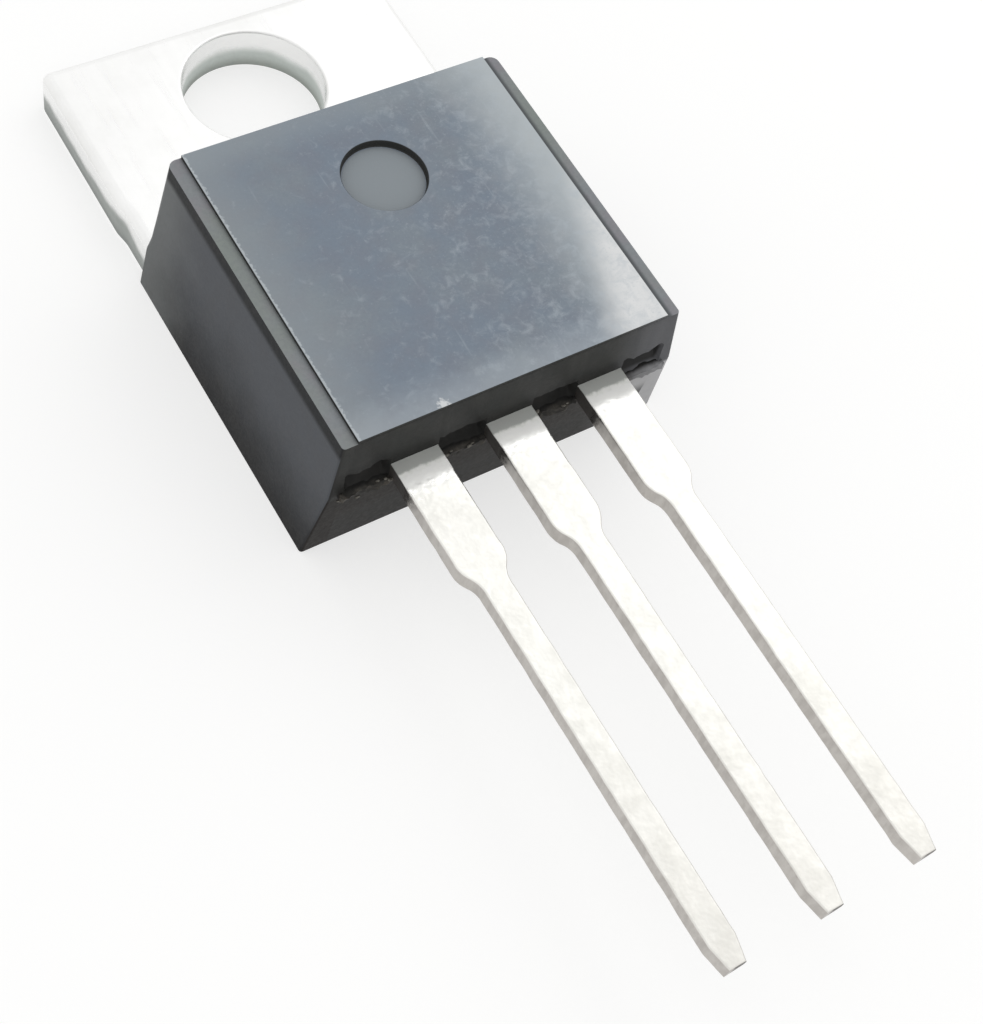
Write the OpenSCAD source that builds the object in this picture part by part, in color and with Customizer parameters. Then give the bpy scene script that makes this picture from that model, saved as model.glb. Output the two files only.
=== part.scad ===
// Three-lead voltage regulator in a flat power package, lying on its back.
// The origin is the centre of the mounting hole on the back face.
// +Z comes out of the marked face, +Y points to the end of the tab and the leads run to -Y.

/* [Moulded body] */
// Width of the body across its foot
body_w = 10.12; // [9.9:0.02:10.6]
// Length of the body, from its foot on the tab to its parting line at the leads
body_l = 8.86; // [8.4:0.02:9.4]
// Height of the body above the back face
body_h = 4.6; // [4.3:0.02:4.9]
// Mould draft of the two long sides, in degrees
side_draft = 7; // [3:0.5:9]
// Mould draft of the two ends above the parting line, in degrees
end_draft = 3; // [1:0.5:5]
// Mould draft of the lead end below the parting line, in degrees
under_draft = 5.5; // [2:0.5:8]
// Radius of the four upright corners
corner_r = 0.22; // [0.1:0.02:0.4]
// Radius of the long top edges
edge_r = 0.12; // [0.04:0.02:0.2]
// Radius of the fillet where the body stands on the tab
foot_r = 0.16; // [0.06:0.02:0.3]
// Width of the raised field on the marked face
field_w = 8.26; // [7.6:0.02:8.6]
// Step from the raised field down to the strip on each side
field_step = 0.1; // [0.04:0.01:0.2]
// How far the raised field stands in from both ends
field_inset = 0.03; // [0.02:0.01:0.1]
// Radius of the raised field's own edges
field_edge_r = 0.04; // [0.02:0.01:0.08]
// Diameter of the ejector pin mark in the marked face
pin_mark_d = 2.1; // [1.6:0.1:2.6]
// Depth of the ejector pin mark
pin_mark_depth = 0.12; // [0.05:0.01:0.25]
// Distance from the tab side of the body to the centre of the ejector pin mark
pin_mark_in = 2.35; // [1.8:0.05:4]
// Height of the set-back band over the leads
band_h = 0.26; // [0.1:0.02:0.4]
// Depth of the set-back band
band_depth = 0.07; // [0.03:0.01:0.12]
// How far the ledge of flash between the leads stands out
ledge_out = 0.06; // [0.02:0.01:0.1]
// Length that the band and the ledge leave plain next to each upright corner
band_margin = 0.1; // [0.05:0.05:0.6]

/* [Heatsink] */
// How far each side of the tab stands in from the body's foot
tab_inset = 0.12; // [0.06:0.02:0.3]
// Thickness of the tab and of the pad inside the body
tab_t = 1.27; // [1.15:0.01:1.39]
// Diameter of the mounting hole
hole_d = 3.8; // [3.6:0.02:4.1]
// Distance from the centre of the hole to the end of the tab
hole_to_end = 2.5; // [2.3:0.05:3]
// Length of tab that the body leaves open
tab_open = 6.2; // [5.9:0.05:6.5]
// Radius of the tab's two corners
tab_corner_r = 0.28; // [0.1:0.02:1]
// Radius that stamping rolls on the tab's upper edges and hole rim
edge_roll = 0.18; // [0.08:0.02:0.3]
// Cut on each side of the tab where the mould closes on it
waist_cut = 0.08; // [0.04:0.01:0.15]
// Length of the waist that shows outside the body
waist_l = 1.4; // [0.8:0.1:2]
// Length of full-width tab that the body covers
tab_buried = 0.35; // [0.2:0.05:0.6]
// Length of the whole heatsink, from the tab's end to the end of the pad
sink_l = 12.65; // [12.2:0.05:12.8]
// Width of the epoxy on each side of the pad that shows in the back of the body
pad_margin = 0.96; // [0.8:0.02:1.6]
// Reach of the locking ledge on each side of the pad
lock_reach = 0.35; // [0.2:0.05:0.45]
// Height of the underside of the locking ledge
lock_z = 0.5; // [0.3:0.05:0.7]
// Depth of the sealing groove across the pad
groove_depth = 0.25; // [0.1:0.05:0.4]
// Distance from the body's tab side to the sealing groove
groove_in = 1.1; // [0.9:0.1:1.8]

/* [Leads] */
// Distance between the centre lines of neighbouring leads
lead_pitch = 2.54; // [2.4:0.02:2.6]
// Thickness of the leads
lead_t = 0.46; // [0.36:0.02:0.56]
// Height of the underside of the leads above the back face
lead_z = 2.64; // [2.4:0.02:2.8]
// Width of a lead next to the body
root_w = 1.26; // [1.15:0.02:1.5]
// Width of a lead beyond its shoulders
lead_w = 0.7; // [0.62:0.02:0.9]
// Length of a lead outside the body
lead_l = 13.2; // [12.7:0.05:14.2]
// Distance from the body to the start of the shoulders
shoulder_at = 2.85; // [2.6:0.05:3.2]
// Length over which the shoulders curve in
shoulder_l = 0.85; // [0.6:0.05:1.2]
// Width of a lead at its cut end
tip_w = 0.44; // [0.36:0.02:0.6]
// Length of the tapered tip
tip_l = 0.6; // [0.3:0.05:1]
// Slope of the centre lead where it drops to the pad, in degrees
drop_angle = 60; // [50:1:70]

/* [Inner posts] */
// Width of the bonding post of an outer lead
post_w = 2.3; // [1.8:0.1:2.6]
// Length of the bonding post
post_l = 1.15; // [1:0.05:1.3]
// Length of the neck between the bonding post and the lead end of the body
neck_l = 0.75; // [0.5:0.05:0.9]
// Diameter of the hole that locks the post in the moulding
lock_hole_d = 0.6; // [0.4:0.05:0.7]

/* [Die and wires] */
// Width of the silicon die
die_w = 2.6; // [2:0.1:3.4]
// Length of the silicon die
die_l = 2.2; // [1.8:0.1:3]
// Thickness of the silicon die
die_t = 0.28; // [0.2:0.02:0.4]
// Distance from the body's tab side to the centre of the die
die_in = 3.7; // [3.4:0.1:4]
// Thickness of the solder under the die
solder_t = 0.05; // [0.03:0.01:0.1]
// Width of the solder that shows round the die
solder_rim = 0.1; // [0.05:0.05:0.2]
// Diameter of the output wire
output_wire_d = 0.38; // [0.25:0.01:0.4]
// Diameter of the adjust wire
adjust_wire_d = 0.13; // [0.1:0.01:0.25]
// Radius of a wire loop, as a ratio of the distance it spans
loop_ratio = 0.6; // [0.56:0.01:0.7]
// Distance from the edges of the die to the middle of a wire's foot
bond_in = 0.55; // [0.5:0.05:0.8]

/* [Hidden] */
$fn = 64;

// Steps in a quarter circle of the lofted body, and in each arc of a shoulder
ARC_STEPS = 6;
EDGE_STEPS = 3;
SHOULDER_STEPS = 6;
// Overrun of a cutting shape past the face that it cuts
CUT = 0.5;
// How far the raised field is carried down into the body
FIELD_ROOT = 0.3;
// A wire's foot, as parts of the wire's diameter
FOOT_L = 2.2;
FOOT_W = 1.35;
FOOT_T = 0.6;

tab_w = body_w - 2 * tab_inset;
pad_w = body_w - 2 * pad_margin;
tab_end_y = hole_to_end;
body_tab_y = tab_end_y - tab_open;
body_lead_y = body_tab_y - body_l;
pad_end_y = tab_end_y - sink_l;
tip_y = body_lead_y - lead_l;
strip_z = body_h - field_step;
die_y = body_tab_y - die_in;
die_z = tab_t + solder_t;
die_top_z = die_z + die_t;
lead_top_z = lead_z + lead_t;
post_y = body_lead_y + neck_l;
bond_y = post_y + post_l / 2;
shoulder_y = body_lead_y - shoulder_at;
band_x = side_x(lead_top_z) - corner_r - band_margin;

// Half the width of the body at height z
function side_x(z) = body_w / 2 - z * tan(side_draft);
// The body's face over the tab at height z
function tab_face_y(z) = body_tab_y - max(0, z - tab_t) * tan(end_draft);
// The body's face over the leads at height z
function lead_face_y(z) =
    body_lead_y + (z < lead_z ? (lead_z - z) * tan(under_draft) : (z - lead_z) * tan(end_draft));

// Points along an arc
function arc(centre, r, from, to, steps) =
    [for (i = [0:steps]) let (a = from + (to - from) * i / steps) centre + r * [cos(a), sin(a)]];

// A rectangle with round corners, as a closed ring of points at height z
function ring(x, y0, y1, r, z) =
    [for (p = concat(
        arc([x - r, y1 - r], r, 0, 90, ARC_STEPS),
        arc([r - x, y1 - r], r, 90, 180, ARC_STEPS),
        arc([r - x, y0 + r], r, 180, 270, ARC_STEPS),
        arc([x - r, y0 + r], r, 270, 360, ARC_STEPS))) [p.x, p.y, z]];

// The body's outline at height z, with its long sides moved in
function body_ring(z, inset = 0) =
    ring(side_x(z) - inset, lead_face_y(z), tab_face_y(z), corner_r, z);

// The raised field's outline at height z, with all its sides moved in
function field_ring(z, inset = 0) =
    ring(field_w / 2 - inset, lead_face_y(z) + field_inset + inset,
        tab_face_y(z) - field_inset - inset, field_edge_r, z);

// A closed solid through a stack of rings
module loft(rings) {
    n = len(rings[0]);
    last = len(rings) - 1;
    walls = [for (k = [0:last - 1], i = [0:n - 1])
        [k * n + i, (k + 1) * n + i, (k + 1) * n + (i + 1) % n, k * n + (i + 1) % n]];
    polyhedron(
        points = [for (r = rings) each r],
        faces = concat([[for (i = [0:n - 1]) i]], walls, [[for (i = [n - 1:-1:0]) last * n + i]]));
}

// The block up to the side strips: drafted sides and ends, widest at the parting line
module body_block() {
    loft(concat(
        [body_ring(0), body_ring(tab_t), body_ring(lead_z)],
        [for (a = arc([0, 0], edge_r, 0, 90, EDGE_STEPS))
            body_ring(strip_z - edge_r + a.y, edge_r - a.x)]));
}

// The raised field of the marked face
module raised_field() {
    loft(concat(
        [field_ring(strip_z - FIELD_ROOT)],
        [for (a = arc([0, 0], field_edge_r, 0, 90, EDGE_STEPS))
            field_ring(body_h - field_edge_r + a.y, field_edge_r - a.x)]));
}

// The hollow fillet that the body stands on, across the tab
module foot_fillet() {
    half = tab_w / 2 - waist_cut - edge_roll;
    translate([-half, 0, 0])
        rotate([90, 0, 90])
            linear_extrude(2 * half)
                polygon(concat(
                    [[body_tab_y - foot_r, tab_t], [body_tab_y + foot_r, tab_t]],
                    arc([body_tab_y + foot_r, tab_t + foot_r], foot_r, 270, 180, ARC_STEPS),
                    [[body_tab_y - foot_r, tab_t + foot_r]]));
}

// The band over the leads where the lead end is set back
module set_back_band() {
    translate([-band_x, body_lead_y - CUT, lead_top_z])
        cube([2 * band_x, lead_face_y(lead_top_z) - body_lead_y + CUT + band_depth, band_h]);
}

// The ledge of flash in the plane of the leads
module flash_ledge() {
    translate([-band_x, body_lead_y - ledge_out, lead_z])
        cube([2 * band_x, ledge_out + band_depth, lead_t]);
}

module ejector_mark() {
    translate([0, tab_face_y(body_h) - pin_mark_in, body_h - pin_mark_depth])
        cylinder(h = pin_mark_depth + CUT, d = pin_mark_d);
}

// Everything that the epoxy is moulded round
module moulded_in() {
    heatsink_shape();
    for (side = [-1, 1])
        outer_lead_shape(side);
    die_shape();
    solder_shape();
    adjust_wire_shape();
    output_wire_shape();
}

module moulded_body() {
    color("#3b3c3d")
        difference() {
            union() {
                body_block();
                raised_field();
                foot_fillet();
                flash_ledge();
            }
            set_back_band();
            ejector_mark();
            moulded_in();
        }
}

// The tab seen from above: two round corners, and a waist next to the body
module tab_outline() {
    x = tab_w / 2;
    waist_x = x - waist_cut;
    waist_y = body_tab_y + waist_l;
    buried_y = body_tab_y - tab_buried;
    polygon(concat(
        arc([x - tab_corner_r, tab_end_y - tab_corner_r], tab_corner_r, 0, 90, ARC_STEPS),
        arc([tab_corner_r - x, tab_end_y - tab_corner_r], tab_corner_r, 90, 180, ARC_STEPS),
        [[-x, waist_y], [-waist_x, waist_y - waist_cut], [-waist_x, buried_y],
         [waist_x, buried_y], [waist_x, waist_y - waist_cut], [x, waist_y]]));
}

// A section half as wide as x1, with its top corners rolled
module rolled_section(x0, x1, roll0) {
    roll = min(edge_roll, tab_t / 2);
    polygon(concat(
        [[x0, 0], [x1, 0]],
        arc([x1 - roll, tab_t - roll], roll, 0, 90, ARC_STEPS),
        roll0 ? arc([x0 + roll, tab_t - roll], roll, 90, 180, ARC_STEPS) : [[x0, tab_t]]));
}

// The open tab: outline, rolled side edges and rolled end edge in one
module tab_shape() {
    buried_y = body_tab_y - tab_buried;
    intersection() {
        linear_extrude(tab_t)
            tab_outline();
        translate([0, tab_end_y, 0])
            rotate([90, 0, 0])
                linear_extrude(tab_end_y - buried_y)
                    rolled_section(-tab_w / 2, tab_w / 2, true);
        translate([-tab_w / 2, 0, 0])
            rotate([90, 0, 90])
                linear_extrude(tab_w)
                    rolled_section(buried_y, tab_end_y, false);
    }
}

// The mounting hole, with a rolled upper rim
module mounting_hole() {
    translate([0, 0, -CUT])
        cylinder(h = tab_t + 2 * CUT, d = hole_d);
    rotate_extrude()
        difference() {
            translate([0, tab_t - edge_roll])
                square([hole_d / 2 + edge_roll, edge_roll + CUT]);
            translate([hole_d / 2 + edge_roll, tab_t - edge_roll])
                circle(r = edge_roll);
        }
}

// The pad that carries the die: a ledge on each side and a groove across the top hold the epoxy
module pad_shape() {
    from_y = body_tab_y - tab_buried + CUT / 2;
    difference() {
        union() {
            translate([-pad_w / 2, pad_end_y, 0])
                cube([pad_w, from_y - pad_end_y, tab_t]);
            translate([-pad_w / 2 - lock_reach, pad_end_y, lock_z])
                cube([pad_w + 2 * lock_reach, body_tab_y - tab_buried - pad_end_y, tab_t - lock_z]);
        }
        translate([0, body_tab_y - groove_in, tab_t])
            rotate([45, 0, 0])
                cube([body_w, groove_depth * sqrt(2), groove_depth * sqrt(2)], center = true);
    }
}

// The centre lead's drop from the lead plane to the pad, seen from the side
module drop_shape() {
    low = tab_t - lead_t;
    lean = lead_t * tan(drop_angle / 2);
    run = (lead_z - low) / tan(drop_angle);
    bend_y = pad_end_y - lean - run;
    translate([-root_w / 2, 0, 0])
        rotate([90, 0, 90])
            linear_extrude(root_w)
                polygon([
                    [body_lead_y, lead_z], [bend_y, lead_z], [bend_y + run, low], [pad_end_y + lean, low],
                    [pad_end_y + lean, tab_t], [pad_end_y, tab_t],
                    [bend_y + lean, lead_top_z], [body_lead_y, lead_top_z]]);
}

// One side of a lead seen from above, from the body to the tip: two arcs make the shoulder
function lead_side() =
    let (
        bend = 2 * atan((root_w - lead_w) / 2 / shoulder_l),
        r = shoulder_l / 2 / sin(bend))
    concat(
        [[root_w / 2, body_lead_y]],
        arc([root_w / 2 - r, shoulder_y], r, 0, -bend, SHOULDER_STEPS),
        arc([lead_w / 2 + r, shoulder_y - shoulder_l], r, 180 - bend, 180, SHOULDER_STEPS),
        [[lead_w / 2, tip_y + tip_l], [tip_w / 2, tip_y]]);

// The length of a lead outside the body
module open_lead() {
    right = lead_side();
    left = [for (i = [len(right) - 1:-1:0]) [-right[i].x, right[i].y]];
    translate([0, 0, lead_z])
        linear_extrude(lead_t)
            polygon(concat(right, left));
}

module heatsink_shape() {
    difference() {
        tab_shape();
        mounting_hole();
    }
    pad_shape();
    drop_shape();
    open_lead();
}

// The tab, the pad under the die and the centre lead are one piece of copper
module heatsink_and_input_lead() {
    color("#d9dadb")
        heatsink_shape();
}

// An outer lead: neck, bonding post and locking hole inside, tapered pin outside
module outer_lead_shape(side) {
    translate([side * lead_pitch, 0, 0])
        difference() {
            union() {
                open_lead();
                translate([-root_w / 2, body_lead_y, lead_z])
                    cube([root_w, neck_l, lead_t]);
                translate([-post_w / 2, post_y, lead_z])
                    cube([post_w, post_l, lead_t]);
            }
            translate([side * (post_w / 2 - lock_hole_d), bond_y, lead_z - CUT])
                cylinder(h = lead_t + 2 * CUT, d = lock_hole_d);
        }
}

module adjust_lead() {
    color("#d4d5d2")
        outer_lead_shape(-1);
}

module output_lead() {
    color("#d4d5d2")
        outer_lead_shape(1);
}

module die_shape() {
    translate([-die_w / 2, die_y - die_l / 2, die_z])
        cube([die_w, die_l, die_t]);
}

module silicon_die() {
    color("#5c6068")
        die_shape();
}

module solder_shape() {
    translate([-die_w / 2 - solder_rim, die_y - die_l / 2 - solder_rim, tab_t])
        cube([die_w + 2 * solder_rim, die_l + 2 * solder_rim, solder_t]);
}

module die_solder() {
    color("#9b9d9f")
        solder_shape();
}

// A bond wire: a flattened foot at each end and one round loop between them
module bond_wire(from, to, d) {
    foot = [FOOT_L * d, FOOT_W * d, FOOT_T * d];
    run = norm([to.x - from.x, to.y - from.y]);
    rise = to.z - from.z;
    span = norm([run, rise]);
    r = loop_ratio * span;
    below = sqrt(r * r - span * span / 4);
    slope = atan2(rise, run);
    middle = [run / 2 + below * sin(slope), foot.z + rise / 2 - below * cos(slope)];
    start = atan2(foot.z - middle.y, -middle.x);
    stop = atan2(foot.z + rise - middle.y, run - middle.x);
    translate(from)
        rotate([0, 0, atan2(to.y - from.y, to.x - from.x)]) {
            for (x = [[0, 0], [run, rise]])
                translate([x[0] - foot.x / 2, -foot.y / 2, x[1]])
                    cube(foot);
            translate([middle.x, 0, middle.y])
                rotate([90, 0, 0])
                    rotate([0, 0, stop])
                        rotate_extrude(angle = start - stop)
                            translate([r, 0])
                                circle(d = d, $fn = 24);
        }
}

// A wire from one end of the die to the post of the lead on that side
module die_wire(side, d) {
    bond_wire(
        [side * (die_w / 2 - bond_in), die_y - die_l / 2 + bond_in, die_top_z],
        [side * lead_pitch, bond_y, lead_top_z], d);
}

module adjust_wire_shape() {
    die_wire(-1, adjust_wire_d);
}

module output_wire_shape() {
    die_wire(1, output_wire_d);
}

module adjust_wire() {
    color("#c9cacc")
        adjust_wire_shape();
}

module output_wire() {
    color("#c9cacc")
        output_wire_shape();
}

moulded_body();
heatsink_and_input_lead();
adjust_lead();
output_lead();
silicon_die();
die_solder();
adjust_wire();
output_wire();
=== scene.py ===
"""A three-lead voltage regulator in a moulded power package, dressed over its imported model."""
import math
from functools import partial
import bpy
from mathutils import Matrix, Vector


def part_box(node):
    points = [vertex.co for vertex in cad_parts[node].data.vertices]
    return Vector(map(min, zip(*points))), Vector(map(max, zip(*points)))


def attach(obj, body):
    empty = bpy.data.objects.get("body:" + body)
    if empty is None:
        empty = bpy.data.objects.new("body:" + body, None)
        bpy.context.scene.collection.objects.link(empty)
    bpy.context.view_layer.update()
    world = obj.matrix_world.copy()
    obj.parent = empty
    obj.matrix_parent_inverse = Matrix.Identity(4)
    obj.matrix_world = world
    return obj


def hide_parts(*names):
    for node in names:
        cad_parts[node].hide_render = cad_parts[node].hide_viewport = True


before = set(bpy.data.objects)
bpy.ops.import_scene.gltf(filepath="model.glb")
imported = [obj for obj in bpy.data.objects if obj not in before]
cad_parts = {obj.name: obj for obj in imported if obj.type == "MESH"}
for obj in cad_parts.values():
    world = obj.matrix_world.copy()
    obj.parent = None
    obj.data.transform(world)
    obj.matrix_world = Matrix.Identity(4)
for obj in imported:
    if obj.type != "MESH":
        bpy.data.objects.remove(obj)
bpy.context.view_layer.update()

from types import SimpleNamespace

import bmesh
import bpy
from bpy.props import FloatProperty, FloatVectorProperty, PointerProperty
from mathutils import Matrix, Vector

bl_info = {
    "name": "Voltage Regulator",
    "version": (1, 0, 0),
    "blender": (4, 5, 0),
    "location": "3D View > Sidebar > Regulator",
    "description": "Builds a voltage regulator with a moulded body, a plated tab and three tinned leads",
    "category": "Object",
}

# Width of the photograph's frame in pixels, and of the camera's sensor in millimetres
FRAME_W = 983
SENSOR_W = 36.0
# Pieces are shaped in millimetres, which suits the modelling tools' tolerances, and then made metres
MM = 0.001
# How close to a level counts as on it, in millimetres
NEAR = 0.004
# How close to a circle, or to a place that the mesh only comes near to, counts as on it
SLACK = 0.01
# The least of a direction that lies along an axis it follows, and the most along one it crosses
ALONG = 0.9
ACROSS = 0.3
# Faces that meet at less than this angle are smooth together
SMOOTH_BELOW = math.radians(35)

# Inside the body, in millimetres: how far the tab goes in, and the reach and lower side of the pad's ledges
BURIED = 0.35
LEDGE_REACH = 0.35
LEDGE_LOW = 0.5
# The inner ends of the leads: the neck from the body's end to a post, the post's step, width and length, its
# locking hole's radius and place across, along and up, and the slope and the inner end of the centre lead
NECK = 0.75
POST_STEP = 0.02
POST_WIDTH = 2.3
POST_LENGTH = 1.13
LOCK_RADIUS = 0.3
LOCK_PLACE = (0.55, 0.575, 0.2)
DROP = math.radians(60)
PAD_HOLD = 0.4
# The tab draws in along a soft S: where it starts from the body, its length and its steps
WAIST_START = 1.65
WAIST_LENGTH = 0.6
WAIST_STEPS = 8
# A lead's shoulder turns in so many steps each way, and its straight lengths go in steps of this length
BEND_STEPS = 6
LEAD_STEP = 0.25
# The flare at the foot of the far corners: heights over the tab, and the share of the corner's radius there
FLARE = ((0, 0.25), (0.12, 0.35), (0.28, 0.6), (0.5, 0.88))
# The field starts as an inset of the top, and ends this far from the ends of the body
INSET = 0.03
FIELD_GAP = 0.005
# The break beside the leads: its levels from the leads' lower and upper side, and how far in they go
BREAK_LEVELS = ((0.12, 0.34), (0.1, 0.26))
BREAK_DEPTHS = (0.12, 0.24, 0.2)
# The flash: how far it stands out and goes in, and how far below and above the leads' lower side it reaches
FLASH_OUT = 0.12
FLASH_IN = 0.3
FLASH_UNDER = 0.12
FLASH_OVER = 0.07
# Crumbs of resin by the roots of the leads: place across, distance from the end's wall, height and size
CRUMBS = (
    (-3.22, 0.16, 2.72, 0.05), (-3.3, 0.1, 2.74, 0.04), (-3.5, 0.06, 2.72, 0.035), (-4.3, 0.1, 2.62, 0.04),
    (-1.72, 0.14, 2.72, 0.05), (-1.6, 0.12, 2.78, 0.03), (-1.12, 0.16, 2.74, 0.045),
    (-1.02, 0.12, 2.74, 0.03), (0.7, 0.14, 2.98, 0.045), (0.76, 0.1, 2.84, 0.035), (1.5, 0.14, 2.72, 0.04),
    (1.62, 0.12, 2.73, 0.03), (3.24, 0.1, 2.76, 0.03), (-4.38, 0.0, 2.36, 0.06), (-3.9, 0.0, 2.1, 0.045))

# The lamp's sides, place and aim, in metres
LAMP_SIZE = (0.16, 0.12)
LAMP_PLACE = (0.12, 0.03, 0.14)
LAMP_AIM = (0, -0.010, 0.002)
# The floor's half width, lower and upper side and corner, in millimetres, and its share in reflections
FLOOR_HALF = 600
FLOOR_LOW = -2.0
FLOOR_TOP = -0.01
FLOOR_CORNER = 40
FLOOR_MIRRORED = 0.85


def paint(code):
    """The linear colour of an sRGB hex code."""
    parts = [int(code[i:i + 2], 16) / 255 for i in (1, 3, 5)]
    return tuple(p / 12.92 if p <= 0.04045 else ((p + 0.055) / 1.055) ** 2.4 for p in parts) + (1.0,)


def length(label, words, metres):
    return FloatProperty(name=label, description=words, default=metres, min=0.0, precision=6, unit="LENGTH")


def angle(label, words, degrees):
    return FloatProperty(name=label, description=words, default=math.radians(degrees), unit="ROTATION")


def colour(label, words, code):
    return FloatVectorProperty(name=label, description=words, default=paint(code), size=4, min=0.0, max=1.0,
                               subtype="COLOR")


class RegulatorSizes(bpy.types.PropertyGroup):
    """Sizes of the details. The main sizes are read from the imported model."""

    side_draft: angle("Side Draft", "Mould draft of the long sides of the body", 7)
    end_draft: angle("End Draft", "Mould draft of the ends over the tab and over the leads", 3)
    under_draft: angle("Under Draft", "Mould draft of the lead end below the leads", 5.5)
    corner_radius: length("Corner Radius", "Radius of the body's upright corners over the tab", 0.00022)
    near_corner: length("Near Corner Radius", "Radius of the upright corners at the lead end", 0.00008)
    edge_radius: length("Edge Radius", "Radius of the body's long top edges", 0.00016)
    foot_radius: length("Foot Radius", "Hollow fillet where the body stands on the tab", 0.00016)
    field_width: length("Field Width", "Width of the raised field of the marked face", 0.00826)
    field_step: length("Field Step", "Height of the raised field over the side strips", 0.0001)
    mark_width: length("Ejector Mark Width", "Width of the mark that the mould's ejector pin leaves", 0.0021)
    mark_depth: length("Ejector Mark Depth", "Depth of the ejector pin's mark", 0.0002)
    mark_inset: length("Ejector Mark Inset", "From the end over the tab to the mark's middle", 0.00235)
    flash_reach: length("Flash Reach", "How far the flash stands out in the plane of the leads", 0.00006)
    tab_thickness: length("Tab Thickness", "Thickness of the tab and the pad", 0.00127)
    tab_corner: length("Tab Corner", "Radius of the tab's corners", 0.00028)
    tab_open: length("Open Tab", "Length of the tab outside the body", 0.0062)
    edge_roll: length("Edge Roll", "Radius that stamping leaves along the tab's upper edges", 0.0003)
    waist: length("Waist", "How much each side of the tab draws in next to the body", 0.00008)
    hole_width: length("Hole Width", "Width of the mounting hole", 0.0038)
    pad_width: length("Pad Width", "Width of the pad on the back", 0.0082)
    pad_reach: length("Pad Reach", "From the tab's end to the pad's inner end", 0.01265)
    root_width: length("Root Width", "Width of a lead next to the body", 0.00126)
    lead_width: length("Lead Width", "Width of a lead past its shoulders", 0.0007)
    tip_width: length("Tip Width", "Width of a lead's cut end", 0.00044)
    tip_length: length("Tip Length", "Length of the taper at a lead's end", 0.0006)
    tip_rise: length("Tip Rise", "How much one lower corner of a cut end rises", 0.00025)
    shoulder_start: length("Shoulder Start", "From the body to a lead's shoulders", 0.00285)
    shoulder_length: length("Shoulder Length", "Length of a lead's shoulders", 0.00085)
    lead_edge: length("Lead Edge", "Radius of the leads' upper edges", 0.00005)
    pitch: length("Pitch", "Distance between the middles of neighbouring leads", 0.00254)


class RegulatorFinish(bpy.types.PropertyGroup):
    """Colours of the finishes."""

    field: colour("Field", "Bloom on the raised field of the marked face", "#828d9a")
    strip: colour("Strip", "Side strips of the marked face", "#8f9397")
    wall: colour("Wall", "Long walls of the moulding", "#5d6065")
    end: colour("End", "Ends of the moulding", "#373837")
    ledge: colour("Ledge", "Broken flash in the plane of the leads", "#3b3a38")
    crumb: colour("Crumb", "Resin crumbs on the flash", "#77746c")
    tin: colour("Tin", "Matt tin on the leads", "#e9e8e3")
    sheared: colour("Sheared Tin", "Sheared sides of the leads", "#cac6c1")
    cut: colour("Cut End", "Cut ends of the leads", "#66615e")
    plate: colour("Plate", "Plated faces of the tab", "#f6f6f5")
    torn: colour("Torn Edge", "Lower part of the tab's stamped edges", "#a9adaa")
    silicon: colour("Silicon", "The die inside the moulding", "#454a55")
    solder: colour("Solder", "The solder under the die", "#a5a6a6")
    wire: colour("Wire", "The bond wires inside the moulding", "#d2d3d4")


class RegulatorStage(bpy.types.PropertyGroup):
    """The camera, the light and the floor."""

    azimuth: angle("Azimuth", "Side that the camera stands on: 0 is -Y and 90 is +X", -47.682)
    elevation: angle("Elevation", "Height of the camera over the horizon", 58.762)
    roll: angle("Roll", "Turn of the camera about its own axis", 19.399)
    target: FloatVectorProperty(name="Target", description="Point that the camera looks at", size=3,
                                default=(-0.000326, -0.013322, 0.0), precision=6, unit="LENGTH")
    distance: length("Distance", "From the target to the camera", 0.044544)
    focal_pixels: FloatProperty(name="Focal Length", default=1828.224, min=1.0,
                                description="Focal length in pixels of the photograph")
    sky: FloatProperty(name="Sky", description="Strength of the light from all round", default=0.76, min=0.0)
    softbox: FloatProperty(name="Softbox", description="Brightness of the softbox", default=0.7, min=0.0)
    floor: colour("Floor", "Pale floor", "#b6b6b5")
    lift: FloatProperty(name="Lift", description="White that the floor adds where it is seen", default=0.61,
                        min=0.0)


# Edit mode


def same(one, other):
    """Whether two places are on one level."""
    return abs(one - other) < NEAR


def settle():
    """Makes the active object's place, turn and scale its mesh's own."""
    bpy.ops.object.transform_apply(location=True, rotation=True, scale=True)


def clear_off():
    """Leaves edit mode with nothing selected."""
    if bpy.context.object and bpy.context.object.mode == "EDIT":
        bpy.ops.object.mode_set(mode="OBJECT")
    bpy.ops.object.select_all(action="DESELECT")


def start_block(name, low, high):
    """A cube between two corners, left in edit mode with nothing selected."""
    clear_off()
    bpy.ops.mesh.primitive_cube_add(size=1, location=[(a + b) / 2 for a, b in zip(low, high)])
    piece = bpy.context.object
    piece.scale = [b - a for a, b in zip(low, high)]
    settle()
    piece.name = piece.data.name = name
    bpy.ops.object.mode_set(mode="EDIT")
    bpy.ops.mesh.select_all(action="DESELECT")
    return piece


def start_drum(name, middle, radius, depth, sides, across=False):
    """A cylinder, upright or across the part, in object mode."""
    clear_off()
    bpy.ops.mesh.primitive_cylinder_add(vertices=sides, radius=radius, depth=depth, location=middle,
                                        rotation=(0, math.pi / 2 if across else 0, 0))
    settle()
    piece = bpy.context.object
    piece.name = piece.data.name = name
    return piece


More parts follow.
